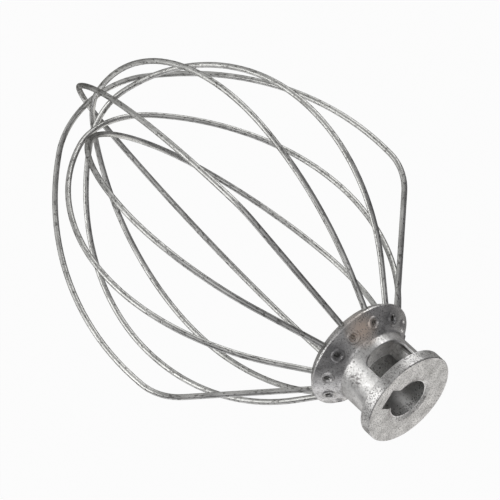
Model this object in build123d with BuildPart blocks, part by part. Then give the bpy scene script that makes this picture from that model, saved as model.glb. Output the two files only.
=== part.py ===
from build123d import *
from math import asin, cos, degrees, hypot, radians, sin, sqrt
import os

# Stand mixer wire whip in its working position. The drive face lies at z = 0 with
# the bore's mouth at the origin, +Z points up out of the bore, and +X points along
# the entry slot of the bayonet. The six wires hang below the hub. Depths are
# measured down from the drive face, and azimuths anticlockwise from +X.

# Bore for the mixer's drive shaft
shaft_diameter = 12.7
shaft_clearance = 0.15
bore_radius = shaft_diameter / 2 + shaft_clearance
bore_depth = 19.8
mouth_chamfer_width = 1.5
mouth_chamfer_depth = 0.6

# Bayonet for the shaft's cross pin: entry slot, channel and side window
pin_slot_width = 6.7
pin_reach = 10.8
pin_channel_depth = 13.4
window_azimuth = -53.0
window_width = 13.4
window_corner = 3.0
window_overlap = 0.5
window_edge = 0.4

# Cast hub, from the drive face down
flange_radius = 15.4
flange_thickness = 3.8
flange_edge = 0.3
neck_radius = 12.1
neck_depth = 17.0
neck_fillet = 1.6
rim_radius = 18.2
rim_depth = 22.1
rim_band = 0.6
rim_edge = 0.2
underside_radius = 16.5
underside_drop = 2.2
underside_edge = 0.5
dish_radius = 11.0
dish_depth = 0.9

# Steel wires, both ends of each held in the collar
wire_radius = 0.9
wire_clearance = 0.04
hole_circle_radius = 15.0
first_azimuth = 57.3
wire_end_drop = 1.1
bend_drop = 0.5
bend_radius = 3.0
seat_run = 4.0

# Raised ring over each wire end, square to the collar's cone, with a sunk middle and
# the small hole left by the pin that held the wire's end while the hub was cast
ring_foot_radius = 2.5
ring_foot_depth = 0.3
ring_radius = 1.8
ring_height = 0.3
recess_radius = 1.4
recess_floor_radius = 0.95
recess_depth = 0.5
pin_mark_radius = 0.7

# Each wire's own bends. lean is its turn from the even spacing. It flares straight
# at flare_angle from the axis for flare_length, turns at its shoulder to side_angle,
# then runs in one long arc to nose_angle, and a tighter arc closes it. The deepest
# wire closes at cage_depth, and each of the others its own rise above that.
cage_depth = 159.7
wires = {
    "wire_1": dict(lean=1.3, flare_angle=45.5, flare_length=42.0, shoulder_radius=21,
                   side_angle=4.5, nose_angle=-48, rise=2.2),
    "wire_2": dict(lean=0.2, flare_angle=43, flare_length=12.5, shoulder_radius=78,
                   side_angle=10.5, nose_angle=-55, rise=13.4),
    "wire_3": dict(lean=-2.1, flare_angle=50, flare_length=23.5, shoulder_radius=51,
                   side_angle=-8, nose_angle=-46, rise=21.9),
    "wire_4": dict(lean=0.9, flare_angle=46.5, flare_length=42.0, shoulder_radius=13,
                   side_angle=5.5, nose_angle=-48, rise=0.0),
    "wire_5": dict(lean=0.4, flare_angle=43.5, flare_length=9.0, shoulder_radius=98,
                   side_angle=12, nose_angle=-66.5, rise=4.6),
    "wire_6": dict(lean=-0.7, flare_angle=44.5, flare_length=12.5, shoulder_radius=79,
                   side_angle=0.5, nose_angle=-62.5, rise=9.2),
}

# Worked out from the sizes above
hole_pitch = 180 / len(wires)
rim_bottom = rim_depth + rim_band
hub_depth = rim_bottom + underside_drop
cone_slope = (rim_radius - neck_radius) / (rim_depth - neck_depth)
mouth_depth = neck_depth + (hole_circle_radius - neck_radius) / cone_slope
wire_end_depth = mouth_depth + wire_end_drop
bend_depth = wire_end_depth + bend_drop
window_start = sqrt(pin_reach**2 - (window_width / 2) ** 2) - window_overlap
window_half_arc = degrees(asin(window_width / 2 / pin_reach))


def outwards(azimuth):
    """The level direction that points away from the axis at an azimuth."""
    return Vector(cos(radians(azimuth)), sin(radians(azimuth)), 0)


def upright_plane(azimuth):
    """The plane through the axis at an azimuth: local x is outwards, local y is up."""
    return Plane(origin=(0, 0, 0), x_dir=outwards(azimuth), z_dir=outwards(azimuth - 90))


def window_plane():
    """The upright plane across the window's direction, where its opening begins."""
    facing = outwards(window_azimuth)
    return Plane(origin=facing * window_start, x_dir=outwards(window_azimuth + 90), z_dir=facing)


def is_window_edge(edge):
    """Whether an edge lies on the neck's outside, below its corner with the flange."""
    middle = edge @ 0.5
    on_neck = abs(hypot(middle.X, middle.Y) - neck_radius) < 0.01
    return on_neck and middle.Z < -flange_thickness - 1


def ring_plane(azimuth):
    """The plane at the top of a wire end's ring, square to the collar's cone, z out of it."""
    mouth = outwards(azimuth) * hole_circle_radius - Vector(0, 0, mouth_depth)
    out_of_metal = (outwards(azimuth) + Vector(0, 0, cone_slope)).normalized()
    return Plane(
        origin=mouth + out_of_metal * ring_height,
        x_dir=outwards(azimuth + 90),
        z_dir=out_of_metal,
    )


def leg_top(top_depth, shape, run):
    """The top of a leg: down its hole, out through its bend and along its flare."""
    hole = Line((hole_circle_radius, -top_depth), (hole_circle_radius, -bend_depth))
    bend = JernArc(hole @ 1, hole % 1, bend_radius, shape["flare_angle"])
    return Line(bend @ 1, bend @ 1 + bend % 1 * run)


def leg_arcs(shape):
    """Radius and turn of the shoulder, the side and half the nose of one leg."""
    flare = radians(shape["flare_angle"])
    side = radians(shape["side_angle"])
    nose = radians(shape["nose_angle"])
    shoulder = shape["shoulder_radius"]
    run = shape["flare_length"]
    out = hole_circle_radius + bend_radius * (1 - cos(flare)) + run * sin(flare)
    out += shoulder * (cos(side) - cos(flare))
    down = bend_depth + bend_radius * sin(flare) + run * cos(flare)
    down += shoulder * (sin(flare) - sin(side))
    closing = (1 + sin(nose)) / cos(nose)
    side_radius = cage_depth - shape["rise"] - down - closing * out
    side_radius /= sin(side) - sin(nose) + closing * (cos(nose) - cos(side))
    nose_radius = (out + side_radius * (cos(nose) - cos(side))) / cos(nose)
    return [
        (shoulder, shape["flare_angle"] - shape["side_angle"]),
        (side_radius, shape["side_angle"] - shape["nose_angle"]),
        (nose_radius, 90 + shape["nose_angle"]),
    ]


os.makedirs("parts", exist_ok=True)
wire_azimuths = {
    name: first_azimuth - index * hole_pitch + shape["lean"]
    for index, (name, shape) in enumerate(wires.items())
}
legs = [(wire_azimuths[name] + turn, shape) for name, shape in wires.items() for turn in (0, 180)]

# Hub: one aluminium casting
hub_corners = [
    (0, 0),
    (flange_radius, 0),
    (flange_radius, -flange_thickness),
    (neck_radius, -flange_thickness),
    (neck_radius, -neck_depth),
    (rim_radius, -rim_depth),
    (rim_radius, -rim_bottom),
    (underside_radius, -hub_depth),
    (dish_radius, -hub_depth),
    (dish_radius - dish_depth, dish_depth - hub_depth),
    (0, dish_depth - hub_depth),
]
corner_rounds = {
    (flange_radius, 0): flange_edge,
    (flange_radius, -flange_thickness): flange_edge,
    (neck_radius, -flange_thickness): flange_edge,
    (neck_radius, -neck_depth): neck_fillet,
    (rim_radius, -rim_depth): rim_edge,
    (rim_radius, -rim_bottom): rim_edge,
    (underside_radius, -hub_depth): underside_edge,
}

with BuildPart() as hub:
    with BuildSketch(Plane.XZ) as hub_profile:
        with BuildLine():
            Polyline(*hub_corners, close=True)
        make_face()
        for corner, radius in corner_rounds.items():
            fillet(hub_profile.vertices().sort_by_distance(corner)[0], radius)
    revolve(axis=Axis.Z)

    # Blind bore with a chamfered mouth
    with BuildSketch(Plane.XZ):
        with BuildLine():
            Polyline(
                (0, 0),
                (bore_radius + mouth_chamfer_width, 0),
                (bore_radius, -mouth_chamfer_depth),
                (bore_radius, -bore_depth),
                (0, -bore_depth),
                close=True,
            )
        make_face()
    revolve(axis=Axis.Z, mode=Mode.SUBTRACT)

    # Bayonet: the pin drops down the slot, turns along the channel and locks in the window
    with BuildSketch(Plane.XY):
        Rectangle(pin_reach, pin_slot_width, align=(Align.MIN, Align.CENTER))
    extrude(amount=-pin_channel_depth, mode=Mode.SUBTRACT)
    with BuildSketch(upright_plane(window_azimuth - window_half_arc)):
        with Locations((0, -flange_thickness)):
            Rectangle(pin_reach, pin_channel_depth - flange_thickness, align=(Align.MIN, Align.MAX))
    revolve(
        axis=Axis.Z,
        revolution_arc=window_half_arc - window_azimuth,
        mode=Mode.SUBTRACT,
    )
    with BuildSketch(window_plane()) as window:
        with Locations((0, -flange_thickness)):
            Rectangle(window_width, pin_channel_depth - flange_thickness,
                      align=(Align.CENTER, Align.MAX))
        fillet(window.vertices().group_by(Axis.Y)[0], window_corner)
    extrude(amount=rim_radius, mode=Mode.SUBTRACT)
    fillet([edge for edge in hub.edges(Select.LAST) if is_window_edge(edge)], window_edge)

    # Rings on the cone, each with its sunk middle and its small hole down to the wire's end
    with Locations(*[ring_plane(azimuth) for azimuth, _ in legs]):
        Cone(
            ring_foot_radius,
            ring_radius,
            ring_foot_depth + ring_height,
            align=(Align.CENTER, Align.CENTER, Align.MAX),
        )
        Cone(
            recess_floor_radius,
            recess_radius,
            recess_depth,
            align=(Align.CENTER, Align.CENTER, Align.MAX),
            mode=Mode.SUBTRACT,
        )
    wire_ends = [
        outwards(azimuth) * hole_circle_radius - Vector(0, 0, wire_end_depth) for azimuth, _ in legs
    ]
    with Locations(*wire_ends):
        Cylinder(
            pin_mark_radius,
            wire_end_depth - mouth_depth + ring_radius,
            align=(Align.CENTER, Align.CENTER, Align.MIN),
            mode=Mode.SUBTRACT,
        )

    # Seats of the wire ends, from just above each end down and out through the underside
    for azimuth, shape in legs:
        with BuildLine(upright_plane(azimuth)) as seat:
            leg_top(wire_end_depth - wire_clearance, shape, seat_run)
        with BuildSketch(Plane(seat.wire() @ 0, z_dir=seat.wire() % 0)):
            Circle(wire_radius + wire_clearance)
        sweep(path=seat.wire(), mode=Mode.SUBTRACT)

hub.part.label = "hub"
export_step(hub.part, "parts/hub.step")

# Wires: each one is a round steel wire bent into a loop, with both ends in the collar
for name, shape in wires.items():
    shoulder, side, (nose_radius, nose_turn) = leg_arcs(shape)
    with BuildPart() as wire:
        with BuildLine(upright_plane(wire_azimuths[name])) as route:
            run = leg_top(wire_end_depth, shape, shape["flare_length"])
            for radius, turn in [shoulder, side, (nose_radius, 2 * nose_turn), side, shoulder]:
                run = JernArc(run @ 1, run % 1, radius, -turn)
            flare = Line(run @ 1, run @ 1 + run % 1 * shape["flare_length"])
            bend = JernArc(flare @ 1, flare % 1, bend_radius, shape["flare_angle"])
            Line(bend @ 1, (-hole_circle_radius, -wire_end_depth))
        with BuildSketch(Plane(route.wire() @ 0, z_dir=route.wire() % 0)):
            Circle(wire_radius)
        sweep(path=route.wire())
    wire.part.label = name
    export_step(wire.part, f"parts/{name}.step")
    print(name, "radii", [round(radius, 1) for radius, _ in leg_arcs(shape)],
          "length", round(route.wire().length, 1))
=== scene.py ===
# %% [markdown]
# # A wire whip for a stand mixer
#
# The whip is a cast aluminium hub with six loops of steel wire hanging from it. The
# CAD model already has every solid in its true place, so this lesson changes no shape.
# It gives the two metals the marks that casting, drawing and use leave on them, and
# sets up a plain studio and a camera.

# %% Open the CAD model
import math

import bpy
import numpy as np
from mathutils import Matrix, Vector


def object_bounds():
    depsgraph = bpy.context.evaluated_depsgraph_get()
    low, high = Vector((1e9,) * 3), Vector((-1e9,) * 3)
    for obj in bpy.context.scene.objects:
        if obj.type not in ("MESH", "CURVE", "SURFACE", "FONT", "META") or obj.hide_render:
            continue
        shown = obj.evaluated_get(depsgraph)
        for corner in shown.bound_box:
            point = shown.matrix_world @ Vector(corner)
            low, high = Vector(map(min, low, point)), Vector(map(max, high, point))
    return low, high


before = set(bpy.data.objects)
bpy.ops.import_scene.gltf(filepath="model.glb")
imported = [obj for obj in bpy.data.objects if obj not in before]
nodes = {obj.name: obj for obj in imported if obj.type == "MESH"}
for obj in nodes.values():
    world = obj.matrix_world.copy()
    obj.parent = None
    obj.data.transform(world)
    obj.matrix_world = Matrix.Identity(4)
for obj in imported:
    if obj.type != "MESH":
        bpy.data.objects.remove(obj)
cad_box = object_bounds()
print("pieces of the CAD model:", sorted(nodes))

# %% [markdown]
# ## Sums on shader sockets
#
# A finish is mostly arithmetic: a noise times a strength, one minus a mask. Blender's
# editor draws each of those sums as a node. This class wraps one socket, so that the
# same sums can be written as ordinary expressions, and each operator adds the node
# that does the work. Anything that isn't a sum comes from its one method, node().

# %% Wrap a shader socket
class Shade:
    """One socket of a node tree. Sums on it add the nodes that work them out."""

    def __init__(self, tree, socket=None):
        self.tree = tree
        self.socket = socket

    def node(self, kind, settings=None, inputs=None, output=0):
        """Adds a node: its settings are set first, and then its sockets get values or links."""
        made = self.tree.nodes.new("ShaderNode" + kind)
        for name, value in (settings or {}).items():
            if name == "stops":
                set_stops(made.color_ramp, value)
            else:
                setattr(made, name, value)
        for name, value in (inputs or {}).items():
            if isinstance(value, Shade):
                self.tree.links.new(value.socket, made.inputs[name])
            else:
                made.inputs[name].default_value = value
        return Shade(self.tree, made.outputs[output])

    def sum(self, operation, *terms):
        """Plain values go through Math, and vectors and colours through Vector Math."""
        if not any(is_spread(term) for term in terms):
            return self.node("Math", {"operation": operation}, dict(enumerate(terms)))
        # Beside a vector, a plain number counts three times.
        terms = [(term,) * 3 if isinstance(term, (int, float)) else term for term in terms]
        return self.node("VectorMath", {"operation": operation}, dict(enumerate(terms)))

    def __add__(self, other):
        return self.sum("ADD", self, other)

    def __sub__(self, other):
        return self.sum("SUBTRACT", self, other)

    def __rsub__(self, other):
        return self.sum("SUBTRACT", other, self)

    def __mul__(self, other):
        return self.sum("MULTIPLY", self, other)

    __radd__ = __add__
    __rmul__ = __mul__


def is_spread(term):
    """True for a vector or a colour."""
    if isinstance(term, Shade):
        return term.socket.type in ("VECTOR", "RGBA")
    return isinstance(term, (tuple, Vector))


def set_stops(ramp, stops):
    """Gives a colour ramp its stops, each one a place from 0 to 1 and a colour."""
    while len(ramp.elements) < len(stops):
        ramp.elements.new(0.5)
    for element, (place, colour) in zip(ramp.elements, stops):
        element.position = place
        element.color = (*colour, 1)


print("sums on sockets are ready")

# %% [markdown]
# ## A metal
#
# Both metals start from the same Principled shader with its Metallic at 1. What makes
# one look cast and the other drawn is how roughness, colour and bump change over it,
# so those three are left open here. The specular tint is the colour of a metal near
# its outline, where bare steel and aluminium go darker before they go white.

# %% Start a metal
def metal(name, edge_tint):
    """Makes a bare metal and gives back the material with a Shade to build its finish on."""
    made = bpy.data.materials.new(name)
    made.use_nodes = True
    shader = made.node_tree.nodes["Principled BSDF"]
    shader.inputs["Metallic"].default_value = 1
    shader.inputs["Specular Tint"].default_value = (*edge_tint, 1)
    return made, Shade(made.node_tree)


print("two metals to make: cast aluminium and drawn steel")

# %% [markdown]
# ## Cast aluminium: the grain
#
# The hub is cast in a die and tumbled, so it is soft grey with a close pebbly grain,
# and wide faint clouds show where the metal cooled unevenly. A picture of cast metal
# wrapped round the hub would stretch on its cone and show where its edges meet. Noise
# in plain space has no edges, so one noise makes the clouds and a finer one the grain,
# and both together pick the grey from a ramp. They are measured in millimetres, as a
# casting's grain doesn't grow with the part.

# %% Grow the grain
def noise(place, scale, detail, roughness=0.5):
    """Soft clouds from 0 to 1. `scale` is how many come to each unit of `place`."""
    inputs = {"Vector": place, "Scale": scale, "Detail": detail, "Roughness": roughness}
    return place.node("TexNoise", None, inputs, "Fac")


cast_aluminium, shade = metal("tumbled casting", edge_tint=(0.53, 0.52, 0.51))
# Blender's lengths are metres, and the casting's places and scales are millimetres.
millimetres = 1000.0
place = shade.node("TexCoord", output="Object") * millimetres
clouds = noise(place, scale=0.22, detail=2.0)
grain = noise(place, scale=1.6, detail=5.0, roughness=0.7)
cast_greys = [
    (0.36, (0.36, 0.355, 0.345)),
    (0.50, (0.61, 0.605, 0.595)),
    (0.62, (0.77, 0.76, 0.745)),
]
tone = shade.node("ValToRGB", {"stops": cast_greys}, {"Fac": clouds * 0.5 + grain * 0.5})
print("greys of the casting:", len(cast_greys))

# %% [markdown]
# ## Cast aluminium: pits and a knock
#
# Small dark pits sit in the faces. The flange and the collar stick out and get most of
# them, and the neck between them gets few. Its one rough patch is where something
# knocked it. Real holes would need a very fine mesh for marks that are smaller than a
# millimetre, so a mask says where the pits are, and both the colour and the bump use
# it. The mask is what stands above a level in a noise, which is raised at the heights
# of the flange and the collar. The knock is a coarser noise, kept to the places near
# one point.

# %% Pit the faces and knock the neck
def fade(value, none, full, slope="LINEAR"):
    """A mask that is 0 where the value comes to `none`, and 1 where it comes to `full`."""
    inputs = {"Value": value, "From Min": none, "From Max": full}
    return value.node("MapRange", {"interpolation_type": slope}, inputs)


def how_far(place, point):
    """How far a place is from a point."""
    return place.node("VectorMath", {"operation": "DISTANCE"}, {0: place, 1: point}, "Value")


# Heights and places are in millimetres from the middle of the drive face.
height = shade.node("SeparateXYZ", None, {"Vector": place}, "Z")
on_flange = fade(height, none=-4.5, full=-3.0)
on_collar = fade(height, none=-14.0, full=-16.5)
more_pits = on_flange * 0.09 + on_collar * 0.06
pits = fade(noise(place, scale=2.3, detail=2.0) + more_pits, none=0.63, full=0.71)
knock_place = (11.9, 1.9, -11.9)
near_knock = fade(how_far(place, knock_place), none=3.2, full=1.6)
scuffs = fade(noise(place, scale=1.0, detail=1.0), none=0.47, full=0.55)
pits = shade.sum("MAXIMUM", pits, near_knock * scuffs)
print("the knock is", round(Vector(knock_place).xy.length, 1), "mm from the axis")

# %% [markdown]
# ## Cast aluminium: the bore
#
# The bore is reamed to its size after the casting, so its wall is bare metal. Its pale
# colour is also painted light, which brightens a bore that the lamps hardly reach.
# Its faces could get a material of their own, but then they would have to be picked
# out of the mesh. Instead a plain colour is laid over the greys by a mask, which is 1
# near the axis and above the underside, and so takes in little more than the bore.

# %% Brighten the bore
# The sockets of a Mix node share their names, so the ones for colours go by number.
mix_factor, mix_below, mix_above, mixed_colour = 0, 6, 7, 2


def lay_over(below, colour, mask):
    """Lays a plain colour over the tones below it, as strongly as the mask says."""
    inputs = {mix_factor: mask, mix_below: below, mix_above: (*colour, 1)}
    return mask.node("Mix", {"data_type": "RGBA"}, inputs, mixed_colour)


bare_metal_painted_bright = (0.88, 0.88, 0.87)
bore_wall = 6.6
seen_from_above = place * (1.0, 1.0, 0.0)
from_axis = how_far(seen_from_above, (0.0, 0.0, 0.0))
reamed_and_painted_bright = fade(from_axis, none=6.9, full=bore_wall) * fade(height, none=-22.5, full=-21.5)
# Painted light: this pale colour brightens the bore wall, which the lamps hardly reach.
tone = lay_over(tone, bare_metal_painted_bright, reamed_and_painted_bright * 0.8)
print("bare metal out to", bore_wall, "mm from the axis")

# %% [markdown]
# ## Cast aluminium: a stain, painted shade and dirt
#
# The collar has a warm stain, a little brown, which is made pale as a painted highlight
# too, and on both sides of it the cone is darkened with painted shade.
# They could be painted by hand on an unwrapped mesh. Here each is a colour, laid over
# the greys by a mask that fades with the distance from a point, because such a mark is
# moved by changing three numbers. The dirt in the pits comes last, as it lies on top
# of everything.

# %% Stain the collar and fill the pits
# Each mark is at its full strength within this distance of its middle.
middle = 1.5
# Partly a warm stain and partly a painted highlight: its pale tone brightens the patch.
warm_stain_and_highlight = (0.95, 0.81, 0.70)
stain_and_highlight_place = (10.6, -10.6, -19.8)
stain_and_highlight = fade(how_far(place, stain_and_highlight_place), none=6.0, full=middle)
tone = lay_over(tone, warm_stain_and_highlight, stain_and_highlight * 0.9)

# Painted shade: dark patches on the cone on both sides of the stain.
painted_shade_colour = (0.16, 0.16, 0.165)
painted_shade_spots = [((15.5, -1.5, -20.0), 5.5), ((-0.5, -15.4, -20.0), 5.0)]
for painted_shade_spot, reach in painted_shade_spots:
    painted_shade_mask = fade(how_far(place, painted_shade_spot), none=reach, full=middle)
    tone = lay_over(tone, painted_shade_colour, painted_shade_mask * 0.6)

dirt = (0.13, 0.12, 0.12)
tone = lay_over(tone, dirt, pits * 0.75)
print("marks on the collar:", 1 + len(painted_shade_spots))

# %% [markdown]
# ## Cast aluminium: relief and gloss
#
# A finger feels the grain and the pits. Moving the mesh itself would need many more
# faces for a relief of a tenth of a millimetre, and a bump gives the same look, as it
# only turns the light. The roughness follows the same noises, so that no two places
# shine alike, and the stain is the dullest.

# %% Finish the hub
def finish(made, **looks):
    """Links each look to the Principled socket of that name."""
    shader = made.node_tree.nodes["Principled BSDF"]
    for name, look in looks.items():
        made.node_tree.links.new(look.socket, shader.inputs[name.replace("_", " ")])


def dress(name, made):
    """Puts a finish on a CAD node, in place of the plain one it came with."""
    nodes[name].data.materials.clear()
    nodes[name].data.materials.append(made)


pebbled = {"Strength": 0.4, "Distance": 0.00013, "Height": grain - pits * 0.7}
relief = shade.node("Bump", None, pebbled)
roughness = clouds * 0.16 + grain * 0.12 + stain_and_highlight * 0.25 + 0.20
finish(cast_aluminium, Base_Color=tone, Roughness=roughness, Normal=relief)
dress("hub", cast_aluminium)
print("hub faces:", len(nodes["hub"].data.polygons))

# %% [markdown]
# ## Measure along each wire
#
# Drawing a wire through a die leaves fine scratches that run along it. A noise in
# plain space can't follow a bent wire, so each wire gets three measurements at every
# vertex: how far round its loop the point lies, how far across the wire it is, and
# how far it faces the outside of the loop. Each loop lies in one upright plane, and
# the widest direction of its own vertices tells which plane that is.

# %% Store the measurements on the wires
# The height of the loops' middle and the radius of their wire are in metres.
loop_centre = -0.085
wire_radius = 0.0009
# A radian of a loop is very roughly this many millimetres of wire.
wire_per_radian = 70
# This moves each wire to a place of its own in the noise, so that no two look alike.
next_wire = 900
wire_names = [f"wire_{number}" for number in range(1, 7)]


def read_rows(collection, name):
    """Reads the points or the normals of a mesh, as rows of x, y and z."""
    flat = np.zeros(len(collection) * 3)
    collection.foreach_get(name, flat)
    return flat.reshape(-1, 3)


for number, wire_name in enumerate(wire_names, start=1):
    mesh = nodes[wire_name].data
    points = read_rows(mesh.vertices, "co")
    normals = read_rows(mesh.vertex_normals, "vector")
    spread = points[:, :2].T @ points[:, :2]
    outwards = np.linalg.eigh(spread)[1][:, 1]
    sideways = [-outwards[1], outwards[0]]
    turn = np.arctan2(points[:, :2] @ outwards, loop_centre - points[:, 2])
    measured = {
        "along": turn * wire_per_radian + number * next_wire,
        "across": points[:, :2] @ sideways / wire_radius,
        "outside": normals[:, :2] @ outwards * np.sin(turn) - normals[:, 2] * np.cos(turn),
    }
    for name, values in measured.items():
        layer = mesh.attributes.new(name, "FLOAT", "POINT")
        layer.data.foreach_set("value", values.astype(np.float32))
    angle = math.degrees(math.atan2(outwards[1], outwards[0]))
    print(mesh.name, "lies at", round(angle, 1), "degrees")

# %% [markdown]
# ## Drawn steel: scratches, wear and nicks
#
# Stainless wire has no grain of its own, only what the die and the years have left
# on it. The shader's own anisotropy could spread the gloss across such scratches, but
# it shows no single one of them. So they come from a noise that is squeezed across the
# wire and stretched along it. A second, slower noise makes dull and bright lengths, as
# a wire that has been bent and used has, and a third one leaves short dark nicks.

# %% Scratch the wires
steel_wire, shade = metal("drawn wire", edge_tint=(0.11, 0.105, 0.10))
along, across, outside = [
    shade.node("Attribute", {"attribute_name": name}, output="Fac")
    for name in ("along", "across", "outside")
]


def wire_noise(lengthwise, crosswise, detail, roughness=0.5):
    """A noise that follows the wire, with a scale along it and one across it."""
    parts = {"X": along * lengthwise, "Y": across * crosswise, "Z": outside * crosswise}
    place_on_wire = shade.node("CombineXYZ", None, parts)
    return noise(place_on_wire, scale=1.0, detail=detail, roughness=roughness)


scratches = wire_noise(lengthwise=0.05, crosswise=2.2, detail=4.0, roughness=0.65)
wear = wire_noise(lengthwise=0.16, crosswise=0.4, detail=3.0)
nicks = fade(wire_noise(lengthwise=0.6, crosswise=1.6, detail=2.0), none=0.58, full=0.64)
print("noises that follow the wires: scratches, wear and nicks")

# %% [markdown]
# ## Drawn steel: tones, relief and gloss
#
# The scuffed lengths of a bright wire look paler and duller than the polished ones,
# which mirror the dim room, and dirt stays in the nicks. The same noises choose the
# tone, the relief and the roughness, because a scratch on the real wire changes all
# three at once.

# %% Finish the wires
steel_greys = [(0.38, (0.42, 0.42, 0.405)), (0.60, (0.80, 0.80, 0.775))]
tone = shade.node("ValToRGB", {"stops": steel_greys}, {"Fac": scratches * 0.6 + wear * 0.4})
nick_dirt = (0.11, 0.105, 0.10)
tone = lay_over(tone, nick_dirt, nicks * 0.7)
scored = {"Strength": 0.15, "Distance": 0.00006, "Height": scratches - nicks * 0.4}
relief = shade.node("Bump", None, scored)
roughness = wear * 0.16 + scratches * 0.14 + 0.24
finish(steel_wire, Base_Color=tone, Roughness=roughness, Normal=relief)
for wire_name in wire_names:
    dress(wire_name, steel_wire)
print("wires finished:", len(wire_names))

# %% [markdown]
# ## Floor
#
# The whip hangs in the air as it does under its mixer, so the floor lies well below
# it. Nothing on the floor has a shape, so a single flat face is enough, and it reaches
# out far enough that the camera sees no end of it.

# %% Lay the floor
floor_height = -0.75
half_width = 2.4
corners = [
    (x * half_width, y * half_width, floor_height)
    for x, y in ((-1, -1), (1, -1), (1, 1), (-1, 1))
]
floor_mesh = bpy.data.meshes.new("floor")
floor_mesh.from_pydata(corners, [], [(0, 1, 2, 3)])
floor = bpy.data.objects.new("floor", floor_mesh)
bpy.context.scene.collection.objects.link(floor)
print("floor at", floor_height, "m")

# %% [markdown]
# ## Paper on the floor
#
# The floor is white paper. More light would whiten the paper and the metal alike, so
# the paper glows instead, and only where the camera sees it, straight or in the metal.
# One twentieth of its own look stays, so that it keeps the whip's shadow. In the metal
# it glows half as bright, because a floor as bright as the camera sees it would wash
# out the dark sides of the wires.

# %% Make the paper
paper = bpy.data.materials.new("paper")
paper.use_nodes = True
shader = paper.node_tree.nodes["Principled BSDF"]
shader.inputs["Base Color"].default_value = (0.9, 0.9, 0.9, 1)
shader.inputs["Roughness"].default_value = 0.9
shade = Shade(paper.node_tree)
to_camera = shade.node("LightPath", output="Is Camera Ray")
in_metal = shade.node("LightPath", output="Is Glossy Ray")
glow_share = 0.95
glow_in_metal = 0.5
own_look = Shade(paper.node_tree, shader.outputs["BSDF"])
glow = shade.node("Emission", None, {"Color": to_camera + in_metal * glow_in_metal})
# The sockets of a Mix Shader are the share of the second look, and then both looks.
seen = (to_camera + in_metal) * glow_share
paper_look = shade.node("MixShader", None, {0: seen, 1: own_look, 2: glow})
surface = paper.node_tree.nodes["Material Output"].inputs["Surface"]
paper.node_tree.links.new(paper_look.socket, surface)
floor_mesh.materials.append(paper)
print("paper that keeps", round(1 - glow_share, 2), "of its own look")

# %% [markdown]
# ## Room
#
# Bare metal has hardly any colour of its own: it shows the room. To the camera the
# room is white all round, and the metal sees a dim studio with three glowing patches:
# one high up behind the whip, one on its right and one in front. Each patch lights the
# faces that mirror it, such as the flat drive face, and leaves the cone dark. Large
# lamps could do this too, but a patch of the world's own colour is smooth at its edge
# and never comes between the camera and the whip.

# %% Light the room
world = bpy.data.worlds.new("studio")
bpy.context.scene.world = world
world.use_nodes = True
shade = Shade(world.node_tree)
direction = shade.node("TexCoord", output="Generated")


def soft_box(towards, wide, soft, tone):
    """A glowing patch: full out to `wide` degrees from its middle, gone `soft` degrees on."""
    middle = Vector(towards).normalized()
    facing = shade.node("VectorMath", {"operation": "DOT_PRODUCT"}, {0: direction, 1: middle}, "Value")
    outer = math.cos(math.radians(wide + soft))
    inner = math.cos(math.radians(wide))
    return fade(facing, none=outer, full=inner, slope="SMOOTHSTEP") * tone


behind = (-0.785, 0.33, 0.52)
right = (-0.30, 0.95, -0.05)
front = (0.785, -0.33, 0.523)
dim_walls = (0.17, 0.168, 0.175)
room = (
    soft_box(behind, wide=24, soft=20, tone=(0.88, 0.87, 0.85))
    + soft_box(right, wide=24, soft=22, tone=(0.85, 0.85, 0.87))
    + soft_box(front, wide=16, soft=30, tone=(0.61, 0.61, 0.61))
    + dim_walls
)
white = (0.975, 0.975, 0.975)
seen_room = lay_over(room, white, shade.node("LightPath", output="Is Camera Ray"))
background = world.node_tree.nodes["Background"]
background.inputs["Strength"].default_value = 1
world.node_tree.links.new(seen_room.socket, background.inputs["Color"])
print("the room is lit, and its walls are", dim_walls)

# %% [markdown]
# ## Lamps
#
# Three soft lamps stand low round the whip. The nearest one, on the camera's side,
# gives the neck its bright band and many wires a bright line. The other two stand
# left and right of it, and keep the wires and the collar from going black there. A
# brighter room could do that too, but it would wash out the lines along the wires.

# %% Hang three soft lamps
whip_centre = (cad_box[0] + cad_box[1]) / 2


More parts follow.
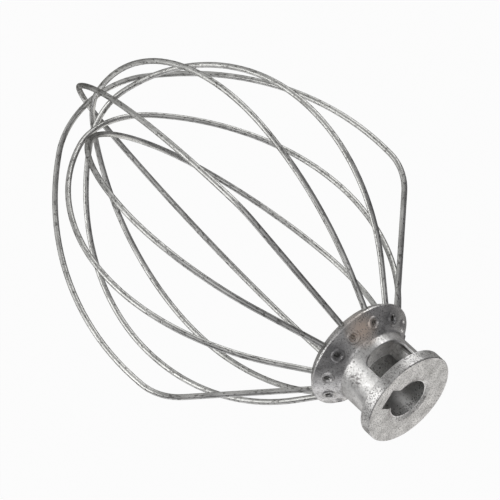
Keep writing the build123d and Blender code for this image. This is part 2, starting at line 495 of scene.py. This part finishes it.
def soft_lamp(name, towards, away_by, width, watts):
    """A square lamp that faces the whip."""
    light = bpy.data.lights.new(name, "AREA")
    light.size = width
    light.energy = watts
    lamp = bpy.data.objects.new(name, light)
    side = Vector(towards).normalized()
    lamp.location = whip_centre + side * away_by
    lamp.rotation_mode = "QUATERNION"
    lamp.rotation_quaternion = side.to_track_quat("Z", "Y")
    lamp.visible_camera = False
    bpy.context.scene.collection.objects.link(lamp)
    print(name, "at", [round(c, 2) for c in lamp.location])


soft_lamp("side_lamp", towards=(0.785, 0.33, -0.42), away_by=0.6, width=0.4, watts=0.94)
soft_lamp("left_lamp", towards=(-0.1, -0.85, -0.40), away_by=0.8, width=0.4, watts=0.94)
soft_lamp("right_lamp", towards=(-0.19, 0.83, -0.45), away_by=0.8, width=0.6, watts=0.47)

# %% [markdown]
# ## Camera
#
# The camera looks down at the whip from one side with a long lens, and is rolled so
# that the hub comes to the lower right and the cage fans out to the upper left. A
# constraint could aim it, but has no setting for the roll, so its three axes are worked
# out here: the direction back to it, and then up and sideways, turned by the roll.

# %% Place the camera
azimuth = math.radians(-22.89)
elevation = math.radians(31.54)
roll = math.radians(-132.81)
distance = 0.8345
aim = Vector((-0.00021, -0.0005, -0.07478))
back = Vector((
    math.cos(azimuth) * math.cos(elevation),
    math.sin(azimuth) * math.cos(elevation),
    math.sin(elevation),
))
level = Vector((0, 0, 1)).cross(back).normalized()
upright = back.cross(level)
turned_up = upright * math.cos(roll) + level * math.sin(roll)
turned_side = turned_up.cross(back)
axes = Matrix((turned_side, turned_up, back)).transposed()
camera_data = bpy.data.cameras.new("camera")
camera_data.lens = 196.24
camera_data.sensor_width = 36
camera = bpy.data.objects.new("camera", camera_data)
bpy.context.scene.collection.objects.link(camera)
camera.matrix_world = Matrix.Translation(aim + back * distance) @ axes.to_4x4()
bpy.context.scene.camera = camera
bpy.context.scene.view_settings.view_transform = "Standard"
print("camera at", [round(c, 3) for c in camera.matrix_world.translation])

# %% [markdown]
# ## Sizes
#
# Every finish here is a shader, which moves no vertex. So the dressed whip is as large
# as the CAD model, whose size is printed here.

# %% Print the size of the CAD model
print("size of the CAD model:", [round(c, 4) for c in cad_box[1] - cad_box[0]])
